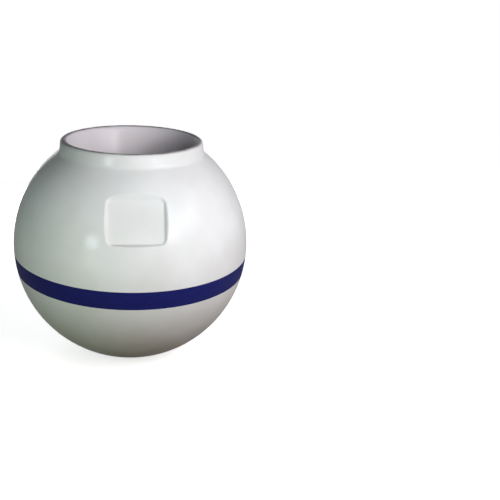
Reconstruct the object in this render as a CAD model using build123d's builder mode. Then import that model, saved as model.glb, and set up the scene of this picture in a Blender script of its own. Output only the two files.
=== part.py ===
from build123d import *
import math
import os

os.makedirs("parts", exist_ok=True)

# A through-chain mooring buoy, in millimetres. It stands on its bottom rim: the origin is the centre of
# that flat rim, +Z runs up the chain tube, and the first label panel faces the -Y side.

# Ball, neck and rounded lip of the one-piece moulding
ball_radius = 381.0
foot_radius = 92.0          # flat of the bottom rim, on which the buoy stands
foot_round = 14.0           # rounding from that flat into the ball
neck_radius = 228.5         # at the lower end of the neck's straight part
neck_length = 24.5          # straight part of the neck, between the shoulder's round and the lip's
neck_draft = 9.5            # degrees, how far the neck narrows upwards, to draw out of the mould
lip_roll = 11.0             # radius of the lip, which is a full round
shoulder_round = 20.0       # hollow rounding where the neck grows out of the ball

# Tapered chain tube, open from the mouth down through the bottom rim
throat_radius = 51.0
throat_length = 70.0
throat_round = 12.0         # rounding at the lower edge, over which the chain swings
taper_blend = 60.0          # rounding where the throat opens into the taper

# Moulded skin, and the gap between pieces that seat in one another
wall = 6.0
seat_gap = 0.3

# Band, laid flush in a groove just under the ball's widest line
band_top = -17.0            # from the centre of the ball
band_width = 57.5
band_depth = 2.0

# Flat label panels, sunk into the upper half of the ball
panel_count = 3
panel_latitude = 28.5       # degrees above the ball's widest line
panel_width = 160.0
panel_height = 125.0
panel_corner = 14.0
panel_sink = 7.0            # of the flat floor below the ball, at the panel's corners, where it is least
panel_draft = 45.0          # degrees, how far the side and lower walls flare
panel_upper_draft = 63.0    # degrees, more for the upper wall, which has to draw out of the mould
panel_rim_round = 5.0
panel_floor_round = 4.0

# Screwed plugs of the holes through which the foam was filled and vented, low on the back of the ball.
# Each row: name, turn from the -Y side in degrees, latitude in degrees, cap radius, shank radius
plug_table = (
    ("fill_plug", 180.0, -48.0, 24.0, 17.0),
    ("vent_plug", 195.0, -48.0, 12.0, 7.0),
)
cap_edge = 3.0              # thickness of a cap at its edge
shank_length = 15.0
slot_width = 3.0            # coin slot across a cap
slot_depth = 1.6

# Places that follow from the sizes above, as radius and height in the half section
ball_height = foot_round + math.sqrt((ball_radius - foot_round) ** 2 - foot_radius ** 2)
ball_centre = (0.0, ball_height)
foot_centre = (foot_radius, foot_round)
neck_cos, neck_sin = math.cos(math.radians(neck_draft)), math.sin(math.radians(neck_draft))
shoulder_reach = neck_radius + shoulder_round * neck_cos
shoulder_height = ball_height + math.sqrt((ball_radius + shoulder_round) ** 2 - shoulder_reach ** 2)
shoulder_centre = (shoulder_reach, shoulder_height)
neck_low = (neck_radius, shoulder_height - shoulder_round * neck_sin)
neck_top = (neck_low[0] - neck_length * neck_sin, neck_low[1] + neck_length * neck_cos)
lip_centre = (neck_top[0] - lip_roll * neck_cos, neck_top[1] - lip_roll * neck_sin)
band_low = band_top - band_width
panel_turns = [360 * i / panel_count for i in range(panel_count)]

# Distance of a panel's floor from the centre of the ball, set by the floor's rounded corners
corner_inset = panel_corner * (1 - math.sqrt(0.5))
corner_reach = math.hypot(panel_width / 2 - corner_inset, panel_height / 2 - corner_inset)
panel_level = math.sqrt(ball_radius ** 2 - corner_reach ** 2) - panel_sink


def toward(centre, point, distance):
    """The point at a distance from a centre, on the way to another point."""
    span = math.dist(centre, point)
    return tuple(c + (p - c) * distance / span for c, p in zip(centre, point))


def ring_point(radius, rise):
    """The point of the half section on a ball of this radius, at a rise from the ball's centre."""
    return (math.sqrt(radius ** 2 - rise ** 2), ball_height + rise)


def on_ball(turn, latitude, radius):
    """A plane across the ball at a turn and a latitude, its normal outwards and its x level."""
    t, a = math.radians(turn), math.radians(latitude)
    out = Vector(math.sin(t) * math.cos(a), -math.cos(t) * math.cos(a), math.sin(a))
    level = Vector(math.cos(t), math.sin(t), 0)
    return Plane(Vector(0, 0, ball_height) + out * radius, x_dir=level, z_dir=out)


def is_on_ball(point):
    """Whether a point lies on the outside of the ball."""
    return abs((point - Vector(0, 0, ball_height)).length - ball_radius) < 0.01


def panel_space(turn, grow):
    """The flared space of one label panel, grown by a distance on every side."""
    floor = on_ball(turn, panel_latitude, panel_level - grow)
    reach = ball_radius + wall - panel_level + grow
    with BuildPart() as space:
        for height in (0, reach):
            side, upper = (
                grow / math.cos(draft) + (height - grow) * math.tan(draft)
                for draft in (math.radians(panel_draft), math.radians(panel_upper_draft))
            )
            with BuildSketch(floor.offset(height)):
                with Locations((0, (upper - side) / 2)):
                    RectangleRounded(
                        panel_width + 2 * side, panel_height + side + upper, panel_corner + side
                    )
        loft(ruled=True)
    return space.part


def ball_ring(inner, outer, low, high):
    """A ring between two balls and two level planes."""
    with BuildPart() as ring:
        with BuildSketch(Plane.XZ):
            with BuildLine():
                l1 = RadiusArc(ring_point(outer, low), ring_point(outer, high), -outer)
                l2 = Line(l1 @ 1, ring_point(inner, high))
                l3 = RadiusArc(l2 @ 1, ring_point(inner, low), inner)
                Line(l3 @ 1, l1 @ 0)
            make_face()
        revolve(axis=Axis.Z)
    return ring.part


def plug_body(turn, latitude, cap_radius, shank_radius, grow):
    """A cap with a shank, grown by a gap on every side. The cap stands proud, to be trimmed flush."""
    seat = math.sqrt(ball_radius ** 2 - cap_radius ** 2) - cap_edge
    with BuildPart() as plug:
        with BuildSketch(on_ball(turn, latitude, seat - grow)):
            Circle(cap_radius + grow)
        extrude(amount=ball_radius - seat + cap_edge)
        with BuildSketch(on_ball(turn, latitude, seat - shank_length - grow)):
            Circle(shank_radius + grow)
        extrude(amount=shank_length)
    return plug.part


# Half section of the moulding. The taper leaves the lip's round as a tangent, aimed at the throat's top.
throat_top = (throat_radius, throat_length)
aim = math.atan2(throat_top[1] - lip_centre[1], throat_top[0] - lip_centre[0])
taper_turn = aim - math.acos(lip_roll / math.dist(lip_centre, throat_top))
taper_start = (
    lip_centre[0] + lip_roll * math.cos(taper_turn),
    lip_centre[1] + lip_roll * math.sin(taper_turn),
)

with BuildSketch(Plane.XZ) as moulding_section:
    with BuildLine():
        l1 = Line((throat_radius + throat_round, 0), (foot_radius, 0))
        l2 = RadiusArc(l1 @ 1, toward(ball_centre, foot_centre, ball_radius), -foot_round)
        l3 = ThreePointArc(
            l2 @ 1, (ball_radius, ball_height), toward(ball_centre, shoulder_centre, ball_radius)
        )
        l4 = RadiusArc(l3 @ 1, neck_low, shoulder_round)
        l5 = Line(l4 @ 1, neck_top)
        l6 = ThreePointArc(l5 @ 1, (lip_centre[0], lip_centre[1] + lip_roll), taper_start)
        l7 = Line(l6 @ 1, throat_top)
        l8 = Line(l7 @ 1, (throat_radius, throat_round))
        l9 = RadiusArc(l8 @ 1, l1 @ 0, -throat_round)
    make_face()
    fillet(moulding_section.vertices().sort_by_distance(throat_top)[0], taper_blend)

# Inside of the skin, which keeps its thickness behind the panels
with BuildSketch(Plane.XZ) as hollow_section:
    add(moulding_section.sketch)
    offset(amount=-wall, mode=Mode.REPLACE)

with BuildPart() as hollow:
    revolve(hollow_section.sketch, axis=Axis.Z)
    for turn in panel_turns:
        add(panel_space(turn, wall), mode=Mode.SUBTRACT)

# One-piece moulded shell, with its panels, band groove and plug seats
with BuildPart() as moulded_shell:
    revolve(moulding_section.sketch, axis=Axis.Z)
    for turn in panel_turns:
        add(panel_space(turn, 0), mode=Mode.SUBTRACT)
        cut_edges = moulded_shell.edges(Select.LAST)
        rim_edges = cut_edges.filter_by(lambda e: is_on_ball(e @ 0.5))
        fillet(rim_edges.sort_by_distance((0, 0, 0)), panel_rim_round)
        floor = on_ball(turn, panel_latitude, panel_level)
        floor_face = moulded_shell.faces().sort_by_distance(floor.origin)[0]
        fillet(floor_face.edges().sort_by_distance((0, 0, 0)), panel_floor_round)
    add(
        ball_ring(
            ball_radius - band_depth - seat_gap,
            ball_radius + wall,
            band_low - seat_gap,
            band_top + seat_gap,
        ),
        mode=Mode.SUBTRACT,
    )
    add(hollow.part, mode=Mode.SUBTRACT)
    for name, *place in plug_table:
        add(plug_body(*place, seat_gap), mode=Mode.SUBTRACT)
moulded_shell.part.label = "moulded_shell"
export_step(moulded_shell.part, "parts/moulded_shell.step")

# Band round the ball
with BuildPart() as blue_band:
    add(ball_ring(ball_radius - band_depth, ball_radius, band_low, band_top))
blue_band.part.label = "blue_band"
export_step(blue_band.part, "parts/blue_band.step")

# Plugs, trimmed flush with the ball and slotted for a coin or a broad driver
for name, turn, latitude, cap_radius, shank_radius in plug_table:
    with BuildPart() as plug:
        add(plug_body(turn, latitude, cap_radius, shank_radius, 0))
        with Locations((0, 0, ball_height)):
            Sphere(ball_radius, mode=Mode.INTERSECT)
        with BuildSketch(on_ball(turn, latitude, ball_radius)):
            Rectangle(3 * cap_radius, slot_width)
        extrude(amount=-slot_depth, mode=Mode.SUBTRACT)
    plug.part.label = name
    export_step(plug.part, f"parts/{name}.step")
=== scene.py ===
# %% [markdown]
# A hard mooring buoy: one hollow ball of white polyethylene with a neck and a rounded lip, a tapered tube
# for the chain right through it, a blue band and two small plugs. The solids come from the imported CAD
# frame, in metres, so this lesson only has to dress them: camera, light, and one honest material for each
# surface. Read it cell by cell, and render after each one.

# %% Load the frame
import math

import bpy
from mathutils import Matrix, Vector


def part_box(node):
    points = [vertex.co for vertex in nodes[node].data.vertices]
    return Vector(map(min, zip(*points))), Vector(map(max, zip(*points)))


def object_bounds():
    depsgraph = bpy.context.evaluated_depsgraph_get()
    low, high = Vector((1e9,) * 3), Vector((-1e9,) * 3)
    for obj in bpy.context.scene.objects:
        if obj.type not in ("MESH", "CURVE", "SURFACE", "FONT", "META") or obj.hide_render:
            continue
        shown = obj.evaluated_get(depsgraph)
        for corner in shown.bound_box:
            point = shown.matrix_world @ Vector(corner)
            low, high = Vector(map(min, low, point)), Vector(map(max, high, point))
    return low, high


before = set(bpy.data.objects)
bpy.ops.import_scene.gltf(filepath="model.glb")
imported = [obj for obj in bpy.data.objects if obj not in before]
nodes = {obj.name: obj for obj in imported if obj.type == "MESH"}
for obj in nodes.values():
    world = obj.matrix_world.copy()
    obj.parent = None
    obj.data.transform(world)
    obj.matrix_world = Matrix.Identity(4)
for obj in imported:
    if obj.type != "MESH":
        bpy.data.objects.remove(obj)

cad_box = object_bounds()
print("nodes:", sorted(nodes))
print("CAD box:", [round(v, 4) for corner in cad_box for v in corner])

# %% [markdown]
# The ball's centre is the one place that everything else is measured from. The frame gives the ball's width
# directly, and the top edge of the band, which lies a known 17 mm under the centre.

# %% Where the ball is
BAND_UNDER_CENTRE = 0.017
ball_radius = (cad_box[1].x - cad_box[0].x) / 2
ball_centre = Vector((0, 0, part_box("blue_band")[1].z + BAND_UNDER_CENTRE))
print(f"ball radius {ball_radius:.3f} m, centre {ball_centre.z:.3f} m above the floor")

# %% [markdown]
# The camera stands in front of the first label panel, nearly two and a half metres off, and looks down on
# the buoy by twenty degrees. In the picture the buoy sits left of the middle and is still quite round. A
# camera that is only turned aside would stretch it, so most of the way is lens shift, as on a view camera:
# it slides the picture sideways without turning the camera. Two small turns make up the rest.

# %% Camera
FRAME_PX = 500
FOCAL_PX = 733.5               # focal length, in pixels of the picture
BALL_PX = (130.45, 241.6)      # where the picture shows the ball's centre, from its top left corner
SHIFT = 0.2                    # lens shift, as a share of the picture's width
CAMERA_DISTANCE = 6.383 * ball_radius
CAMERA_TURN = math.radians(-2.78)
CAMERA_RISE = math.radians(20.0)
CAMERA_ROLL = math.radians(0.64)
SENSOR_MM = 36.0


def toward(turn, rise):
    """The direction at a turn from the front and a rise above the horizon."""
    return Vector((math.sin(turn) * math.cos(rise), -math.cos(turn) * math.cos(rise), math.sin(rise)))


def aimed_camera():
    """A camera with lens shift, aimed so that its picture shows the ball's centre at BALL_PX."""
    back = toward(CAMERA_TURN, CAMERA_RISE)
    right = Vector((math.cos(CAMERA_TURN), math.sin(CAMERA_TURN), 0))
    turn = math.atan2(BALL_PX[0] - (0.5 - SHIFT) * FRAME_PX, FOCAL_PX)
    tip = math.atan2((FRAME_PX / 2 - BALL_PX[1]) * math.cos(turn), FOCAL_PX)
    view = Matrix((right, back.cross(right), back)).transposed()
    view = view @ Matrix.Rotation(turn, 3, "Y") @ Matrix.Rotation(-tip, 3, "X")
    view = view @ Matrix.Rotation(CAMERA_ROLL, 3, "Z")
    data = bpy.data.cameras.new("camera")
    data.sensor_width = SENSOR_MM
    data.lens = SENSOR_MM * FOCAL_PX / FRAME_PX
    data.shift_x = SHIFT
    camera = bpy.data.objects.new("camera", data)
    bpy.context.scene.collection.objects.link(camera)
    camera.matrix_world = Matrix.Translation(ball_centre + back * CAMERA_DISTANCE) @ view.to_4x4()
    return camera


scene = bpy.context.scene
scene.camera = aimed_camera()
scene.view_settings.view_transform = "Standard"
print(f"lens {scene.camera.data.lens:.1f} mm, {CAMERA_DISTANCE:.2f} m from the ball")

# %% [markdown]
# Colours are written as the sRGB hex values that a paint chart would give, and one function turns them into
# the linear values that a shader adds up. Another adds one node, with its settings and its inputs.

# %% Helpers: colours and nodes
def linear(hex_colour):
    """An sRGB hex colour as linear red, green, blue and alpha."""
    channels = [int(hex_colour[i:i + 2], 16) / 255 for i in (1, 3, 5)]
    return [c / 12.92 if c <= 0.04045 else ((c + 0.055) / 1.055) ** 2.4 for c in channels] + [1.0]


def plug_in(tree, node, inputs):
    """Sets a node's inputs. Each is a number, a colour or another node's output."""
    for key, value in inputs.items():
        if isinstance(value, bpy.types.NodeSocket):
            tree.links.new(value, node.inputs[key])
        else:
            node.inputs[key].default_value = value


def add(tree, kind, inputs=None, **settings):
    """A new node of one kind, with its settings and its inputs."""
    node = tree.nodes.new(kind)
    for name, value in settings.items():
        setattr(node, name, value)
    plug_in(tree, node, inputs or {})
    return node


# %% [markdown]
# A few kinds of node come up again and again. With a short name for each, a material reads from top to
# bottom like a recipe. The size of a pattern is given in millimetres, as it would be measured on the buoy.

# %% Helpers: the nodes that materials use most
def per_metre(size_mm):
    """Texture scale at which one cell of a pattern is this many millimetres wide."""
    return 1000 / size_mm


def noise(tree, place, size_mm, detail):
    """Noise whose cells are this many millimetres wide."""
    inputs = {"Vector": place, "Scale": per_metre(size_mm), "Detail": detail}
    return add(tree, "ShaderNodeTexNoise", inputs).outputs[0]


def ramp(tree, value, start, end=(0.0, 1.0)):
    """A value taken from one range to another, and held at both ends."""
    inputs = {0: value, 1: start[0], 2: start[1], 3: end[0], 4: end[1]}
    return add(tree, "ShaderNodeMapRange", inputs).outputs[0]


def blend(tree, share, first, second):
    """One colour that turns into another as the share goes from nought to one."""
    return add(tree, "ShaderNodeMix", {0: share, 6: first, 7: second}, data_type="RGBA").outputs[2]


def maths(tree, operation, *values):
    """The result of one operation on numbers or other nodes' outputs."""
    return add(tree, "ShaderNodeMath", dict(enumerate(values)), operation=operation).outputs[0]


def bump(tree, height, strength, distance, **more):
    """The surface's direction, tilted by a height map."""
    inputs = {"Height": height, "Strength": strength, "Distance": distance, **more}
    return add(tree, "ShaderNodeBump", inputs).outputs[0]


# %% Helpers: materials
def new_material(name):
    """A material with a Principled shader, and its node tree."""
    material = bpy.data.materials.new(name)
    material.use_nodes = True
    tree = material.node_tree
    tree.nodes.clear()
    shader = add(tree, "ShaderNodeBsdfPrincipled")
    add(tree, "ShaderNodeOutputMaterial", {"Surface": shader.outputs[0]})
    return material, tree, shader


def dress(node_name, material):
    """Gives one CAD node its material."""
    nodes[node_name].data.materials.clear()
    nodes[node_name].data.materials.append(material)
    print(node_name, "wears", material.name)


# %% [markdown]
# The shell is polyethylene, melted as powder inside a turning hot mould. The pigment is stirred in dry, so
# the white is a touch cloudy, in patches as wide as a hand. The wall of the chain tube is painted a
# lighter,
# slightly pink white: painted light, which brightens its lit far wall. It could have a material slot of its
# own, but a slot has to follow the faces of the CAD model. A cone a little outside the tube's wall tells
# inside from outside just as well, and the border falls on the lip.

# %% White of the moulding, and painted light in its tube
SKIN_WHITE = "#DEDEDC"
SKIN_CLOUD = "#D6D6D2"
CLOUD_MM = 130.0
CLOUD_SPREAD = (0.35, 0.7)     # noise at which the white starts to cloud, and is all cloud
# painted light: the tube's wall is a lighter, slightly pink white than the skin
TUBE_PAINTED_LIGHT = "#E6E3E5"
TUBE_START = 0.07              # height at which the tube starts to widen
TUBE_RADIUS = 0.063            # radius of the cone there, 12 mm outside the wall
TUBE_FLARE = 0.24              # how much that radius grows with each metre of height
TUBE_BORDER = (-0.002, 0.004)  # from just outside the cone to just inside it


def moulded_white(tree, place, axes):
    """Colour of the bare moulding: cloudy outside, and a lighter painted light in the tube."""
    cloudy = ramp(tree, noise(tree, place, CLOUD_MM, 3.0), CLOUD_SPREAD)
    skin = blend(tree, cloudy, linear(SKIN_WHITE), linear(SKIN_CLOUD))
    level = add(tree, "ShaderNodeCombineXYZ", {0: axes["X"], 1: axes["Y"]}).outputs[0]
    radius = add(tree, "ShaderNodeVectorMath", {0: level}, operation="LENGTH").outputs["Value"]
    above = maths(tree, "SUBTRACT", axes["Z"], TUBE_START)
    cone = maths(tree, "MULTIPLY_ADD", above, TUBE_FLARE, TUBE_RADIUS)
    # share of the tube's painted light: none outside the cone, full inside it
    inside = ramp(tree, maths(tree, "SUBTRACT", cone, radius), TUBE_BORDER)
    return blend(tree, inside, skin, linear(TUBE_PAINTED_LIGHT))


# %% [markdown]
# One mark of use and two painted shades lie on that white. The foot is smeared where the buoy stands and
# is dragged. The crest of the lip faces up, where no lamp reaches, and is painted with a thin grey line of
# shade, which also draws the edge of the mouth. What faces straight up, such as the lower walls of the
# label panels, is painted a little darker too, as shade. Painted marks would need a UV map. The height and
# the direction of the surface find these places without one, and noise makes the foot and the lip uneven.

# %% Foot smear and painted shade
# grey of the smear on the foot, and of the painted shade on what faces up
SKIN_GRIME_AND_SHADE = "#A8A59B"
SMEAR_MM = 25.0
SMEAR_SPREAD = (0.35, 0.65)    # noise from the cleanest places to the most smeared
FOOT_TOP = 0.045               # height to which the foot is smeared
# grey of the painted shade along the lip's crest, which faces up where no lamp reaches
LIP_PAINTED_SHADE = "#625C60"
LIP_TOP = cad_box[1].z
LIP_SHADE_BAND = (0.004, 0.0009)      # how far under the lip's top the painted shade starts, and where it is full
LIP_SHADE_SHARE = (0.45, 0.85)       # share of painted shade where the smear noise is lowest, and where it is highest
SHADE_FACING = (0.86, 0.96)     # how far up a surface faces where the painted shade starts, and where it is full
UP_SHADE_SHARE = 0.4


def foot_smear_and_painted_shade(tree, place, axes, white):
    """The colour of the moulding with its smeared foot, and painted shade on the lip and on what faces up.
    """
    smear = noise(tree, place, SMEAR_MM, 6.0)
    low = ramp(tree, axes["Z"], (0.0, FOOT_TOP), (1.0, 0.0))
    dragged = maths(tree, "MULTIPLY", low, smear)
    # painted shade: a thin grey line along the crest of the lip
    crest = ramp(tree, axes["Z"], [LIP_TOP - depth for depth in LIP_SHADE_BAND])
    crest_shade = maths(tree, "MULTIPLY", crest, ramp(tree, smear, SMEAR_SPREAD, LIP_SHADE_SHARE))
    # painted shade: darker where the surface faces straight up
    facing = add(tree, "ShaderNodeNewGeometry").outputs["Normal"]
    upward = add(tree, "ShaderNodeSeparateXYZ", {0: facing}).outputs["Z"]
    up_shade = ramp(tree, upward, SHADE_FACING, (0.0, UP_SHADE_SHARE))
    colour = white
    for mark, tint in ((dragged, SKIN_GRIME_AND_SHADE), (crest_shade, LIP_PAINTED_SHADE), (up_shade, SKIN_GRIME_AND_SHADE)):
        colour = blend(tree, mark, colour, linear(tint))
    return colour


# %% [markdown]
# The blasted inside of the mould leaves the skin satin: it gives a soft highlight and no sharp mirror. As
# the plastic shrinks off the mould it also takes a fine orange peel, a few millimetres across, and slow
# waves as wide as a hand, which make the highlight wander a little. As bump these cost no triangles.
#
# At a glancing angle a smooth plastic mirrors its surroundings, and in a white studio the edge of the ball
# would glow. Satin scatters that light, so the real edge stays dark. All the gloss is therefore in a thin
# coat. A high coat IOR at a low weight keeps the highlight and takes most of the glow off the edge.

# %% Rotomoulded polyethylene, white
POLYETHYLENE_IOR = 1.51
BLAST_MM = 40.0
BLAST_SPREAD = (0.3, 0.7)
SKIN_SATIN = (0.27, 0.35)      # roughness on the smoothest and on the roughest places
COAT_IOR = 1.8
COAT_ROUGHNESS = 0.19
COAT_WEIGHT = (0.135, 0.03)    # on the skin, and on the lip's crest under its painted shade
MATT_LIP = (0.016, 0.009)      # how far under the lip's top the gloss starts to fade, and is least
WAVE_MM = 110.0
WAVE_HEIGHT = 0.002
PEEL_MM = 7.0                  # about 4 mm on the real skin, drawn coarser so that it shows in the render
PEEL_HEIGHT = 0.0002
SKIN_BUMP = 0.25               # strength of both


def rotomoulded_white():
    """The material of the shell."""
    material, tree, shader = new_material("polyethylene_rotomoulded_white")
    place = add(tree, "ShaderNodeTexCoord").outputs["Object"]
    axes = add(tree, "ShaderNodeSeparateXYZ", {0: place}).outputs
    colour = foot_smear_and_painted_shade(tree, place, axes, moulded_white(tree, place, axes))
    satin = ramp(tree, noise(tree, place, BLAST_MM, 2.0), BLAST_SPREAD, SKIN_SATIN)
    gloss = ramp(tree, axes["Z"], [LIP_TOP - depth for depth in MATT_LIP], COAT_WEIGHT)
    waves = bump(tree, noise(tree, place, WAVE_MM, 1.0), SKIN_BUMP, WAVE_HEIGHT)
    peel = bump(tree, noise(tree, place, PEEL_MM, 1.0), SKIN_BUMP, PEEL_HEIGHT, Normal=waves)
    plug_in(tree, shader, {
        "Base Color": colour,
        "Roughness": satin,
        "IOR": POLYETHYLENE_IOR,
        "Specular IOR Level": 0.0,
        "Coat Weight": gloss,
        "Coat Roughness": COAT_ROUGHNESS,
        "Coat IOR": COAT_IOR,
        "Normal": peel,
    })
    return material


dress("moulded_shell", rotomoulded_white())

# %% [markdown]
# The band is a strip of cast vinyl film, navy right through, laid in the groove below the ball's widest
# line. Film is smoother than the moulded skin, so its sheen could be tighter, but dark colours show every
# reflection and the real band looks almost matt. Its faint grain runs around the ball with the strip.

# %% Cast vinyl film, navy
VINYL_NAVY = "#1B1F63"
VINYL_DEEP = "#161A55"
VINYL_IOR = 1.53
VINYL_SATIN = (0.34, 0.44)     # roughness on the smoothest and on the roughest grain
VINYL_COAT_WEIGHT = 0.12
VINYL_COAT_ROUGHNESS = 0.4
GRAIN_MM = 4.0                 # width of the grain, really about 1 mm, drawn coarser
GRAIN_STRETCH = 8.0            # how much longer than wide the grain is
GRAIN_TINT = (0.35, 0.65)      # noise from the navy to the deeper navy
GRAIN_SPREAD = (0.3, 0.7)      # noise from the smoothest to the roughest grain
GRAIN_HEIGHT = 0.0002
GRAIN_BUMP = 0.2


def cast_vinyl_navy():
    """The material of the band."""
    material, tree, shader = new_material("vinyl_film_cast_navy")
    place = add(tree, "ShaderNodeTexCoord").outputs["Object"]
    axes = add(tree, "ShaderNodeSeparateXYZ", {0: place}).outputs
    turn = maths(tree, "ARCTAN2", axes["Y"], axes["X"])
    around = maths(tree, "MULTIPLY", turn, ball_radius / GRAIN_STRETCH)
    strip = add(tree, "ShaderNodeCombineXYZ", {0: around, 2: axes["Z"]}).outputs[0]
    grain = noise(tree, strip, GRAIN_MM, 3.0)
    navy = blend(tree, ramp(tree, grain, GRAIN_TINT), linear(VINYL_NAVY), linear(VINYL_DEEP))
    plug_in(tree, shader, {
        "Base Color": navy,
        "Roughness": ramp(tree, grain, GRAIN_SPREAD, VINYL_SATIN),
        "IOR": VINYL_IOR,
        "Specular IOR Level": 0.0,
        "Coat Weight": VINYL_COAT_WEIGHT,
        "Coat Roughness": VINYL_COAT_ROUGHNESS,
        "Normal": bump(tree, grain, GRAIN_BUMP, GRAIN_HEIGHT),
    })
    return material


dress("blue_band", cast_vinyl_navy())

# %% [markdown]
# Two small screwed plugs close the holes through which the foam was filled and vented. They are turned from
# bar, so fine rings run round each cap. A Wave texture gives rings about its own Z axis, so the coordinates
# are first moved to the plug and turned until that axis points out of the ball.

# %% Turned polyethylene, off-white
PLUG_WHITE = "#D2D2CC"
PLUG_RING = "#C6C6BF"
TURNED_SATIN = (0.34, 0.46)    # roughness in the valleys and on the crests of the tool marks
TURNED_SPECULAR = 0.2
TURNED_MM = 5.0                # tool marks, really about 0.4 mm apart, drawn coarser so that they show
RING_STEP = 20 / (2 * math.pi)    # rings that a Wave texture of scale 1 draws in one unit
RING_WOBBLE = 0.4
RING_HEIGHT = 0.0002
RING_BUMP = 0.4


def turned_plug(node_name):
    """The material of one plug, with its rings centred on the cap."""
    material, tree, shader = new_material(f"polyethylene_turned_{node_name}")
    low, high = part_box(node_name)
    middle = (Vector(low) + Vector(high)) / 2
    out = (middle - ball_centre).normalized()
    spin = out.to_track_quat("Z", "Y").to_euler()
    place = add(tree, "ShaderNodeTexCoord").outputs["Object"]
    local = add(tree, "ShaderNodeMapping", {"Vector": place, "Location": middle, "Rotation": spin},
                vector_type="TEXTURE").outputs[0]
    scale = per_metre(TURNED_MM) / RING_STEP
    ring = add(tree, "ShaderNodeTexWave", {"Vector": local, "Distortion": RING_WOBBLE, "Scale": scale},
               wave_type="RINGS", rings_direction="Z").outputs["Fac"]
    plug_in(tree, shader, {
        "Base Color": blend(tree, ring, linear(PLUG_WHITE), linear(PLUG_RING)),
        "Roughness": ramp(tree, ring, (0.0, 1.0), TURNED_SATIN),
        "IOR": POLYETHYLENE_IOR,
        "Specular IOR Level": TURNED_SPECULAR,
        "Normal": bump(tree, ring, RING_BUMP, RING_HEIGHT),
    })
    return material


for plug_name in ("fill_plug", "vent_plug"):
    dress(plug_name, turned_plug(plug_name))

# %% [markdown]
# The light is a plain set of softboxes. In the picture nothing comes from above: the crest of the lip and
# the lower walls of the panels are its darkest lines, and a shadow runs across the right of the mouth. So
# all the lamps stand low. Three on the right do most of the work, a near one for the highlight, a far one
# that reaches into the mouth, and one at the side. A weak one in front evens them out. On the left a small
# lamp gives the small round highlight, and one at the height of the ball lifts its lower half. The last one
# stands behind, where it lights only the back, so that the other views aren't dark.

# %% Softboxes
# Each row: name, turn off the camera's side and rise above the horizon in degrees, distance from the ball's
# centre and width in metres, watts, colour
LAMPS = (
    ("key_near", 36, 28, 1.25, 0.53, 6.0, "#E6F4FF"),
    ("key_far", 37, 22, 2.6, 0.7, 17, "#FFEADC"),
    ("side", 60, 30, 1.6, 0.45, 6.1, "#F8F2FF"),
    ("front", 0, 20, 1.6, 0.45, 1.6, "#FFEEF6"),
    ("left", -31.6, 16.2, 1.25, 0.2, 3.0, "#E2F7FF"),
    ("left_low", -32, 0, 1.25, 0.3, 1.2, "#EAFFC4"),
    ("rear", -170, 8, 2.0, 1.2, 26, "#FFFFFF"),
)


def softbox(name, turn, rise, distance, width, watts, colour):
    """A square lamp that faces the ball and doesn't show in the picture itself."""
    out = toward(CAMERA_TURN + math.radians(turn), math.radians(rise))
    data = bpy.data.lights.new(name, "AREA")
    data.size = width
    data.energy = watts
    data.color = linear(colour)[:3]
    lamp = bpy.data.objects.new(name, data)
    lamp.location = ball_centre + out * distance
    lamp.rotation_euler = out.to_track_quat("Z", "Y").to_euler()
    lamp.visible_camera = False
    scene.collection.objects.link(lamp)
    print(f"{name}: {watts} W, {width} m across, {distance} m off")


for lamp_row in LAMPS:
    softbox(*lamp_row)

# %% [markdown]
# The background is white paper. A bright paper would also throw much light up at the ball, which in the
# picture is dark and warm below, so the background is white only for rays that look at it: from the camera,
# or by way of a reflection or glass. For all other rays the world around is almost dark.

# %% White surround
WHITE = linear("#FFFFFF")
AMBIENT = 0.004


def seen_ray(tree):
    """One for rays that show the background: from the camera, or by mirror or glass."""
    path = add(tree, "ShaderNodeLightPath").outputs
    seen = maths(tree, "MAXIMUM", path["Is Camera Ray"], path["Is Glossy Ray"])
    return maths(tree, "MAXIMUM", seen, path["Is Transmission Ray"])


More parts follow.
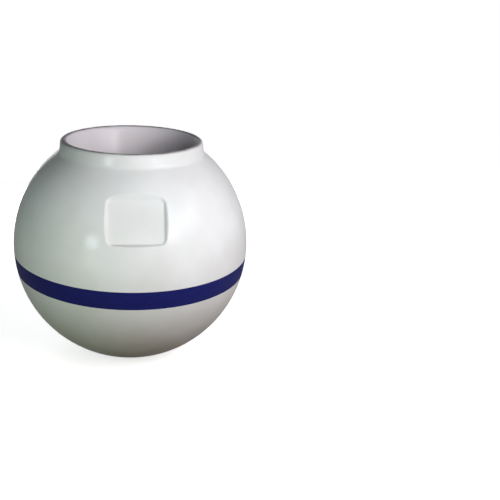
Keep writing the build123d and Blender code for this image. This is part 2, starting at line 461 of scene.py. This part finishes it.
world = bpy.data.worlds.new("studio")
scene.world = world
world.use_nodes = True
tree = world.node_tree
tree.nodes.clear()
dim = add(tree, "ShaderNodeBackground", {"Color": WHITE, "Strength": AMBIENT}).outputs[0]
bright = add(tree, "ShaderNodeBackground", {"Color": WHITE, "Strength": 1.0}).outputs[0]
both = add(tree, "ShaderNodeMixShader", {0: seen_ray(tree), 1: dim, 2: bright}).outputs[0]
add(tree, "ShaderNodeOutputWorld", {"Surface": both})
print("white surround set")

# %% [markdown]
# The floor is a sheet of the same paper. For the light that bounces off it, it is a dark warm brown. For
# rays that look at it, it glows by itself and is lit by the lamps too. Near the ball the glow is weaker, so
# that the lamps count there and a soft shadow stays on the paper.

# %% Paper floor
FLOOR_REACH = 60.0             # half the width of the sheet, so large that its edge is out of view
PAPER_WHITE = "#F6F6F6"
PAPER_BOUNCE = "#43350F"
PAPER_GLOW = (0.68, 1.0)       # under the buoy, and far away from it
SHADOW_REACH = (0.8, 2.4)      # distances between which the one glow turns into the other


def matt_paper():
    """The material of the floor."""
    paper = bpy.data.materials.new("paper_matt_white")
    paper.use_nodes = True
    tree = paper.node_tree
    tree.nodes.clear()
    place = add(tree, "ShaderNodeTexCoord").outputs["Object"]
    away = add(tree, "ShaderNodeVectorMath", {0: place}, operation="LENGTH").outputs["Value"]
    glow = ramp(tree, away, SHADOW_REACH, PAPER_GLOW)
    bounce = add(tree, "ShaderNodeBsdfDiffuse", {"Color": linear(PAPER_BOUNCE)}).outputs[0]
    sheet = add(tree, "ShaderNodeBsdfDiffuse", {"Color": linear(PAPER_WHITE)}).outputs[0]
    lit = add(tree, "ShaderNodeEmission", {"Color": WHITE, "Strength": glow}).outputs[0]
    white = add(tree, "ShaderNodeAddShader", {0: sheet, 1: lit}).outputs[0]
    both = add(tree, "ShaderNodeMixShader", {0: seen_ray(tree), 1: bounce, 2: white}).outputs[0]
    add(tree, "ShaderNodeOutputMaterial", {"Surface": both})
    return paper


floor_mesh = bpy.data.meshes.new("floor")
corners = [(x * FLOOR_REACH, y * FLOOR_REACH, 0) for x, y in ((-1, -1), (1, -1), (1, 1), (-1, 1))]
floor_mesh.from_pydata(corners, [], [(0, 1, 2, 3)])
floor_mesh.materials.append(matt_paper())
floor = bpy.data.objects.new("floor", floor_mesh)
scene.collection.objects.link(floor)
print("paper floor laid")
